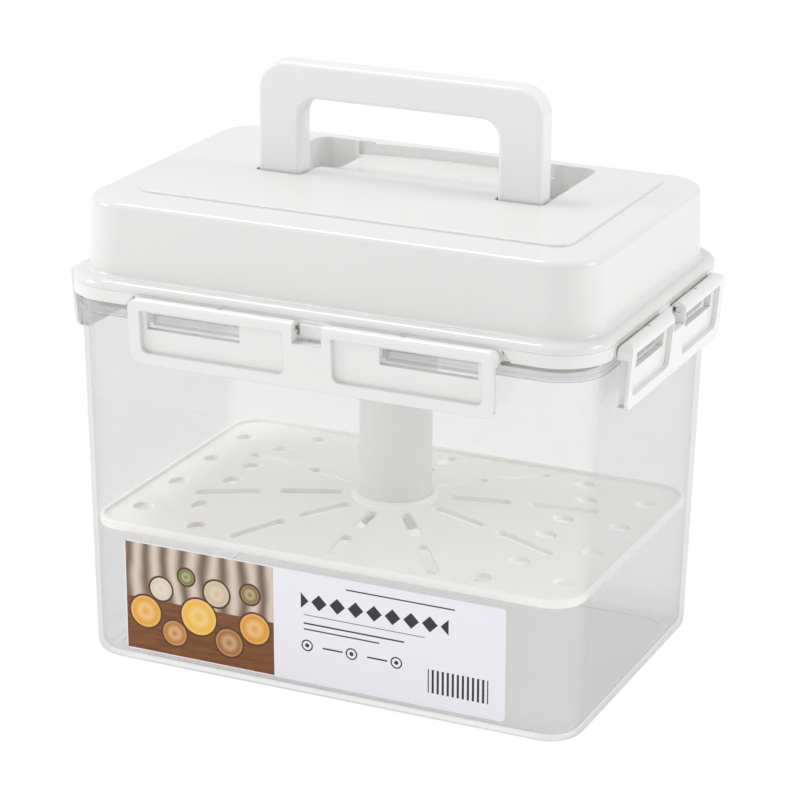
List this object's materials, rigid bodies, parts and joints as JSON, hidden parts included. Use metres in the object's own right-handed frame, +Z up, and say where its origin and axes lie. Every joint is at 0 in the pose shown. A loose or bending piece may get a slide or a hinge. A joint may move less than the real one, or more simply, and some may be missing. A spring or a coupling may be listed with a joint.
{
  "type": "pickle keeper with lift strainer",
  "caption": "Clear lidded tub for pickles with clip latches, a folding carry handle and a sprung column that presses a perforated strainer plate on the food.",
  "frame": {"origin": "middle of the tub's standing ring, at the level it stands on", "axes": "+Z up, -Y towards the face with the label, +X to the right of someone facing that label"},
  "size_m": [0.2474, 0.173, 0.2476],
  "materials": {
    "clear_tub": "clear, slightly frosted moulded plastic",
    "label_print": "printed paper sticker",
    "lid_white": "glossy white moulded plastic",
    "seal_silicone": "soft translucent silicone",
    "pin_steel": "plain steel pin",
    "column_white": "satin grey-white moulded plastic",
    "spring_steel": "stainless spring wire",
    "plate_ivory": "satin ivory-white moulded plastic"
  },
  "bodies": {
    "container": {"container": "clear_tub", "label": "label_print"},
    "lid": {"lid_base": "lid_white", "lid_cover": "lid_white", "lid_seal": "seal_silicone", "column_sleeve": "column_white", "sleeve_cap": "column_white", "press_spring": "spring_steel", "handle_pin_left": "pin_steel", "handle_pin_right": "pin_steel"},
    "handle": {"handle": "lid_white"},
    "latch_front": {"latch_front": "lid_white"},
    "latch_back": {"latch_back": "lid_white"},
    "latch_left": {"latch_left": "lid_white"},
    "latch_right": {"latch_right": "lid_white"},
    "press": {"press_tube": "column_white", "strainer_plate": "plate_ivory", "plate_nut": "plate_ivory"}
  },
  "joints": [
    {"name": "lid_lift", "type": "slide", "parent": "container", "child": "lid", "axis": [0, 0, 1], "range_m": [0, 0.12]},
    {"name": "handle_fold", "type": "hinge", "parent": "lid", "child": "handle", "pos_m": [0, 0.0046, 0.1931], "axis": [-1, 0, 0], "range_deg": [0, 80]},
    {"name": "latch_front_open", "type": "hinge", "parent": "lid", "child": "latch_front", "pos_m": [0, -0.0833, 0.1624], "axis": [-1, 0, 0], "range_deg": [0, 90]},
    {"name": "latch_back_open", "type": "hinge", "parent": "lid", "child": "latch_back", "pos_m": [0, 0.0833, 0.1624], "axis": [1, 0, 0], "range_deg": [0, 90]},
    {"name": "latch_left_open", "type": "hinge", "parent": "lid", "child": "latch_left", "pos_m": [-0.1205, 0, 0.1624], "axis": [0, 1, 0], "range_deg": [0, 90]},
    {"name": "latch_right_open", "type": "hinge", "parent": "lid", "child": "latch_right", "pos_m": [0.1205, 0, 0.1624], "axis": [0, -1, 0], "range_deg": [0, 90]},
    {"name": "press_slide", "type": "slide", "parent": "lid", "child": "press", "axis": [0, 0, 1], "range_m": [0, 0.04], "stiffness_N_per_m": 250, "springref_m": -0.02, "deforming": ["press_spring"]}
  ]
}
